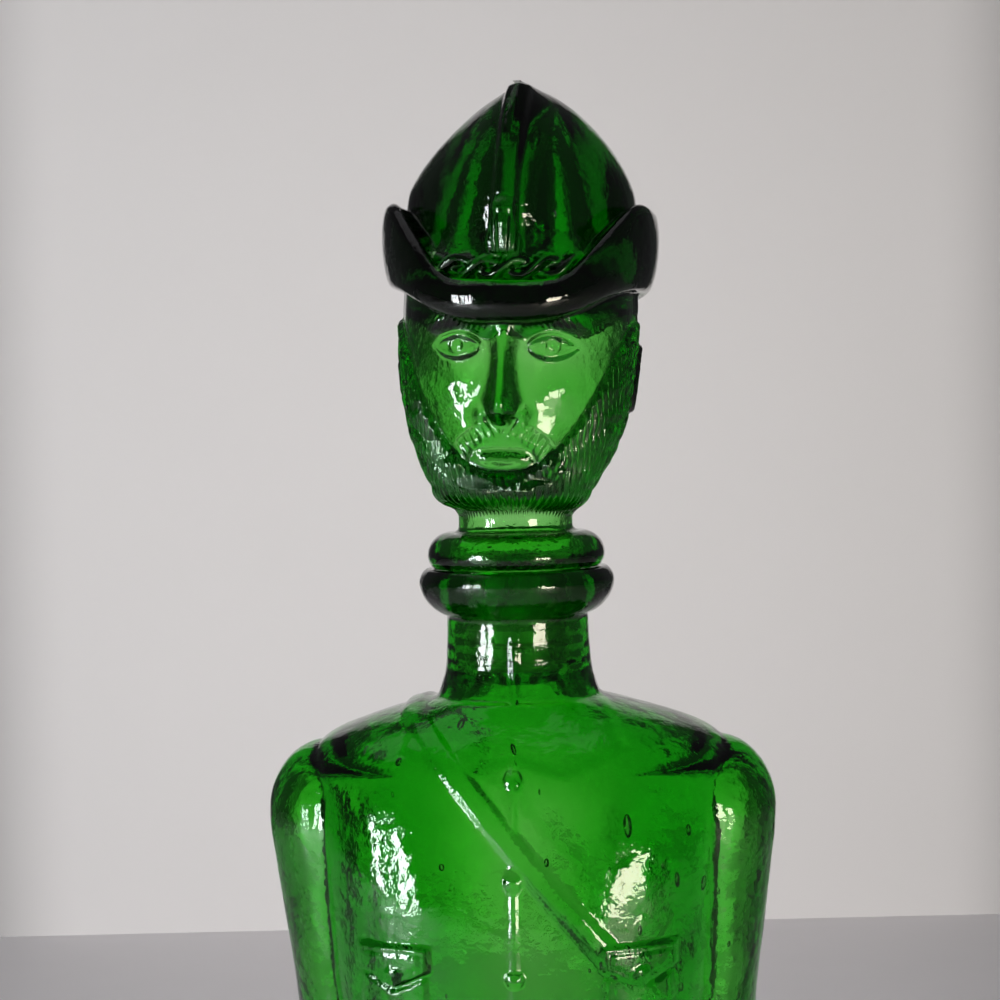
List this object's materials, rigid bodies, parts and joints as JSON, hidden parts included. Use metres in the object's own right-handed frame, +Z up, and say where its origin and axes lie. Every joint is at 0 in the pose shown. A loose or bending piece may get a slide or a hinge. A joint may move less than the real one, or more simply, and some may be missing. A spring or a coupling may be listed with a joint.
{
  "type": "figural liquor decanter",
  "caption": "Hollow glass decanter moulded as a bearded soldier from the knees up; the head in its side cap is a pull-out glass stopper sealed in the neck by a ribbed plastic sleeve.",
  "frame": {"origin": "centre of the base, on the surface it stands on", "axes": "+Z up along the neck's axis, the figure faces -Y, +X is to the right of a viewer who looks at its front"},
  "size_m": [0.104, 0.0697, 0.3484],
  "materials": {
    "bottle_glass": "glossy, slightly wavy mould-blown surface",
    "stopper_glass": "glossy, slightly wavy mould-blown surface",
    "seal_plastic": "milky translucent"
  },
  "bodies": {
    "bottle": {"bottle": "bottle_glass"},
    "seal": {"stopper_seal": "seal_plastic"},
    "stopper": {"stopper": "stopper_glass"}
  },
  "joints": [
    {"name": "stopper_pull", "type": "slide", "parent": "bottle", "child": "seal", "axis": [0, 0, 1], "range_m": [0, 0.06]},
    {"name": "stopper_turn", "type": "hinge", "parent": "seal", "child": "stopper", "pos_m": [0, 0, 0.2525], "axis": [0, 0, 1], "continuous": true}
  ]
}
